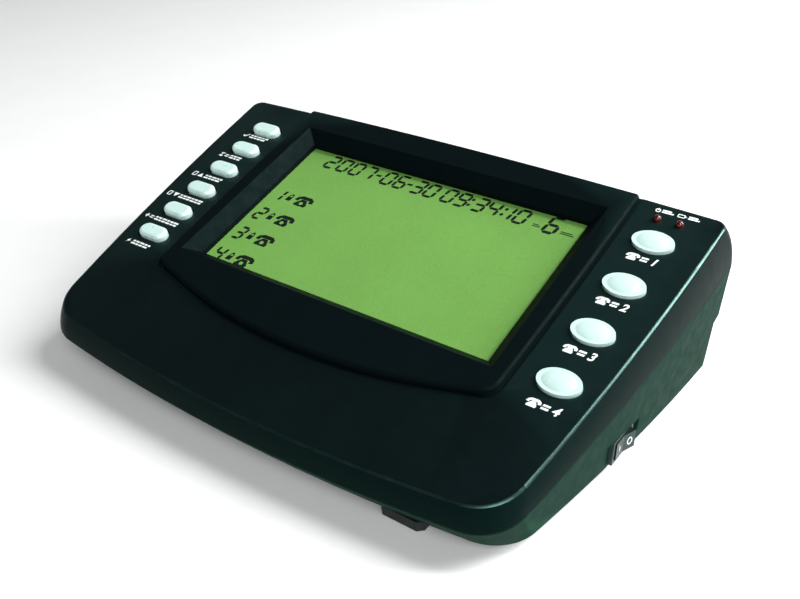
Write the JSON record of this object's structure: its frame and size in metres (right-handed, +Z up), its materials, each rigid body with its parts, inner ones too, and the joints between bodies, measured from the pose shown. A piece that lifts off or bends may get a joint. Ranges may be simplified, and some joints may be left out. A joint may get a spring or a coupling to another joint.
{
  "type": "call meter",
  "caption": "Desktop call charge meter: a wedge-shaped casing with a large display framed by function keys and line keys, with sockets at the rear and a power switch.",
  "frame": {"origin": "on the table, under the middle of the casing's bounding box", "axes": "+X to the user's right, +Y to the rear, +Z up"},
  "size_m": [0.2286, 0.1518, 0.0677],
  "materials": {
    "casing": "satin",
    "bezel": "satin",
    "glass": "gloss",
    "backlight": "satin",
    "frame": "matte",
    "strip": "matte",
    "silver_key": "painted silver",
    "mat": "matte",
    "lamp": "gloss",
    "board": "satin",
    "chip": "satin",
    "sounder": "satin",
    "sleeve": "gloss",
    "socket": "satin",
    "contact": "polished",
    "cable": "satin",
    "switch": "satin",
    "battery": "gloss",
    "snap": "satin",
    "door": "satin",
    "foot": "matte",
    "screw": "zinc plated"
  },
  "bodies": {
    "casing": {"top_cover": "casing", "base_casing": "casing", "display_bezel": "bezel", "lcd_glass": "glass", "lcd_backlight": "backlight", "lcd_frame": "frame", "zebra_strips": "strip", "key_mat_left": "mat", "key_mat_right": "mat", "power_lamp": "lamp", "battery_lamp": "lamp", "main_board": "board", "main_board_screws": "screw", "microcontroller": "chip", "sounder": "sounder", "line_board": "board", "line_board_screws": "screw", "phone_socket_block": "socket", "line_socket_block": "socket", "socket_contacts": "contact", "dc_inlet": "socket", "dc_pin": "contact", "relays": "chip", "capacitors": "sleeve", "ribbon_cable": "cable", "switch_housing": "switch", "switch_terminals": "contact", "battery": "battery", "battery_contacts": "snap", "foot_front_right": "foot", "foot_front_left": "foot", "foot_rear_right": "foot", "foot_rear_left": "foot", "case_screws": "screw"},
    "function_key_1": {"function_key_1": "silver_key"},
    "function_key_2": {"function_key_2": "silver_key"},
    "function_key_3": {"function_key_3": "silver_key"},
    "function_key_4": {"function_key_4": "silver_key"},
    "function_key_5": {"function_key_5": "silver_key"},
    "function_key_6": {"function_key_6": "silver_key"},
    "line_key_1": {"line_key_1": "silver_key"},
    "line_key_2": {"line_key_2": "silver_key"},
    "line_key_3": {"line_key_3": "silver_key"},
    "line_key_4": {"line_key_4": "silver_key"},
    "rocker": {"power_rocker": "switch"},
    "door": {"battery_door": "door"}
  },
  "joints": [
    {"name": "function_key_1_press", "type": "slide", "parent": "casing", "child": "function_key_1", "axis": [0, 0.3007, -0.9537], "range_m": [0, 0.0012], "stiffness_N_per_m": 900, "springref_m": -0.0003},
    {"name": "function_key_2_press", "type": "slide", "parent": "casing", "child": "function_key_2", "axis": [0, 0.3007, -0.9537], "range_m": [0, 0.0012], "stiffness_N_per_m": 900, "springref_m": -0.0003},
    {"name": "function_key_3_press", "type": "slide", "parent": "casing", "child": "function_key_3", "axis": [0, 0.3007, -0.9537], "range_m": [0, 0.0012], "stiffness_N_per_m": 900, "springref_m": -0.0003},
    {"name": "function_key_4_press", "type": "slide", "parent": "casing", "child": "function_key_4", "axis": [0, 0.3007, -0.9537], "range_m": [0, 0.0012], "stiffness_N_per_m": 900, "springref_m": -0.0003},
    {"name": "function_key_5_press", "type": "slide", "parent": "casing", "child": "function_key_5", "axis": [0, 0.3007, -0.9537], "range_m": [0, 0.0012], "stiffness_N_per_m": 900, "springref_m": -0.0003},
    {"name": "function_key_6_press", "type": "slide", "parent": "casing", "child": "function_key_6", "axis": [0, 0.3007, -0.9537], "range_m": [0, 0.0012], "stiffness_N_per_m": 900, "springref_m": -0.0003},
    {"name": "line_key_1_press", "type": "slide", "parent": "casing", "child": "line_key_1", "axis": [0, 0.3007, -0.9537], "range_m": [0, 0.0012], "stiffness_N_per_m": 900, "springref_m": -0.0003},
    {"name": "line_key_2_press", "type": "slide", "parent": "casing", "child": "line_key_2", "axis": [0, 0.3007, -0.9537], "range_m": [0, 0.0012], "stiffness_N_per_m": 900, "springref_m": -0.0003},
    {"name": "line_key_3_press", "type": "slide", "parent": "casing", "child": "line_key_3", "axis": [0, 0.3007, -0.9537], "range_m": [0, 0.0012], "stiffness_N_per_m": 900, "springref_m": -0.0003},
    {"name": "line_key_4_press", "type": "slide", "parent": "casing", "child": "line_key_4", "axis": [0, 0.3007, -0.9537], "range_m": [0, 0.0012], "stiffness_N_per_m": 900, "springref_m": -0.0003},
    {"name": "power_rocker_tilt", "type": "hinge", "parent": "casing", "child": "rocker", "pos_m": [0.1064, -0.0005, 0.0098], "axis": [0, 0, 1], "range_deg": [0, 18]},
    {"name": "battery_door_slide", "type": "slide", "parent": "casing", "child": "door", "axis": [0, 1, 0], "range_m": [0, 0.055]}
  ]
}
